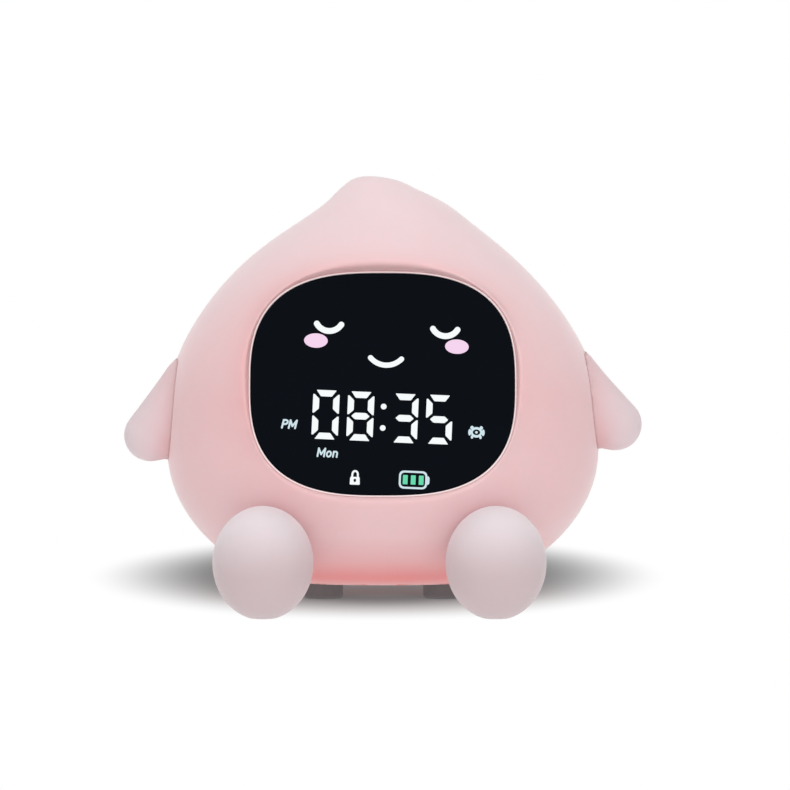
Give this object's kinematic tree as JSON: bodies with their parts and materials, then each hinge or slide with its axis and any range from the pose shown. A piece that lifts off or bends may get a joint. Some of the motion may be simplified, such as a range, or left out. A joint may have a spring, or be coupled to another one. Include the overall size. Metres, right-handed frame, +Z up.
{
  "type": "alarm clock with night light",
  "caption": "Pear-shaped soft silicone clock with a leaning tip, a dark rounded display window, short arms, two round feet, push keys and a slide switch behind.",
  "frame": {"origin": "on the floor, under the middle of the clock's bounding box", "axes": "+X to the viewer's right from the front, +Y to the back, +Z up; the display faces -Y"},
  "size_m": [0.142, 0.113, 0.117],
  "materials": {
    "pink_silicone": "soft pink translucent silicone, satin moulded",
    "frosted_silicone": "frosted grey-pink translucent silicone, fine matt",
    "milky_core": "milky white ABS, moulded",
    "rim_plastic": "pale pink-white plastic, satin",
    "smoked_lens": "back-printed smoked acrylic, polished",
    "tape_foam": "thin closed-cell foam",
    "film_black": "printed film, black with clear marks",
    "white_plastic": "white ABS, moulded",
    "board_laminate": "glass-epoxy board with solder mask",
    "lamp_chip": "small light chip in clear resin",
    "screw_steel": "zinc-plated steel",
    "panel_plastic": "pale pink-white ABS, fine spark texture",
    "key_plastic": "soft-touch moulded keys, pale pink",
    "bumper_rubber": "grey rubber",
    "switch_black": "black moulded parts",
    "socket_steel": "nickel-plated drawn steel",
    "cone_paper": "pressed paper",
    "cell_wrap": "laminated foil pouch",
    "diffuser_plastic": "frosted polycarbonate",
    "touch_copper": "copper foil",
    "ribbon_film": "white flat-lead film",
    "lead_vinyl": "vinyl-covered wire"
  },
  "bodies": {
    "clock": {"silicone_skin": "pink_silicone", "front_shell": "milky_core", "rear_shell": "milky_core", "left_arm": "frosted_silicone", "right_arm": "frosted_silicone", "left_foot": "frosted_silicone", "right_foot": "frosted_silicone", "arm_studs": "milky_core", "foot_studs": "milky_core", "base_plate": "panel_plastic", "rear_bumpers": "bumper_rubber", "base_screws": "screw_steel", "shell_screws": "screw_steel", "window_rim": "rim_plastic", "display_lens": "smoked_lens", "lens_tape": "tape_foam", "mask_film": "film_black", "light_grid": "white_plastic", "display_board": "board_laminate", "display_leds": "lamp_chip", "display_screws": "screw_steel", "control_panel": "panel_plastic", "power_switch": "screw_steel", "control_board": "board_laminate", "tact_switches": "switch_black", "usb_socket": "socket_steel", "panel_screws": "screw_steel", "speaker_seal": "tape_foam", "speaker_frame": "socket_steel", "speaker_magnet": "socket_steel", "speaker_cone": "cone_paper", "chassis": "white_plastic", "chassis_screws": "screw_steel", "battery_foam": "tape_foam", "battery_cell": "cell_wrap", "battery_strap": "white_plastic", "main_board": "board_laminate", "board_parts": "switch_black", "board_screws": "screw_steel", "light_tower": "white_plastic", "tower_screws": "screw_steel", "night_light_board": "board_laminate", "night_light_leds": "lamp_chip", "light_diffuser": "diffuser_plastic", "touch_spring": "screw_steel", "touch_pad": "touch_copper", "display_ribbon": "ribbon_film", "control_ribbon": "ribbon_film", "speaker_lead": "lead_vinyl", "battery_lead": "lead_vinyl", "light_lead": "lead_vinyl"},
    "mode_key": {"mode_key": "key_plastic"},
    "alarm_key": {"alarm_key": "key_plastic"},
    "light_key": {"light_key": "key_plastic"},
    "plus_key": {"plus_key": "key_plastic"},
    "minus_key": {"minus_key": "key_plastic"},
    "switch_knob": {"switch_knob": "key_plastic"}
  },
  "joints": [
    {"name": "mode_key_press", "type": "slide", "parent": "clock", "child": "mode_key", "axis": [0, -1, 0], "range_m": [0, 0.0008], "stiffness_N_per_m": 1400, "springref_m": -0.0005},
    {"name": "alarm_key_press", "type": "slide", "parent": "clock", "child": "alarm_key", "axis": [0, -1, 0], "range_m": [0, 0.0008], "stiffness_N_per_m": 1400, "springref_m": -0.0005},
    {"name": "light_key_press", "type": "slide", "parent": "clock", "child": "light_key", "axis": [0, -1, 0], "range_m": [0, 0.0008], "stiffness_N_per_m": 1400, "springref_m": -0.0005},
    {"name": "plus_key_press", "type": "slide", "parent": "clock", "child": "plus_key", "axis": [0, -1, 0], "range_m": [0, 0.0008], "stiffness_N_per_m": 1400, "springref_m": -0.0005},
    {"name": "minus_key_press", "type": "slide", "parent": "clock", "child": "minus_key", "axis": [0, -1, 0], "range_m": [0, 0.0008], "stiffness_N_per_m": 1400, "springref_m": -0.0005},
    {"name": "power_slide", "type": "slide", "parent": "clock", "child": "switch_knob", "axis": [-1, 0, 0], "range_m": [0, 0.0025]}
  ]
}
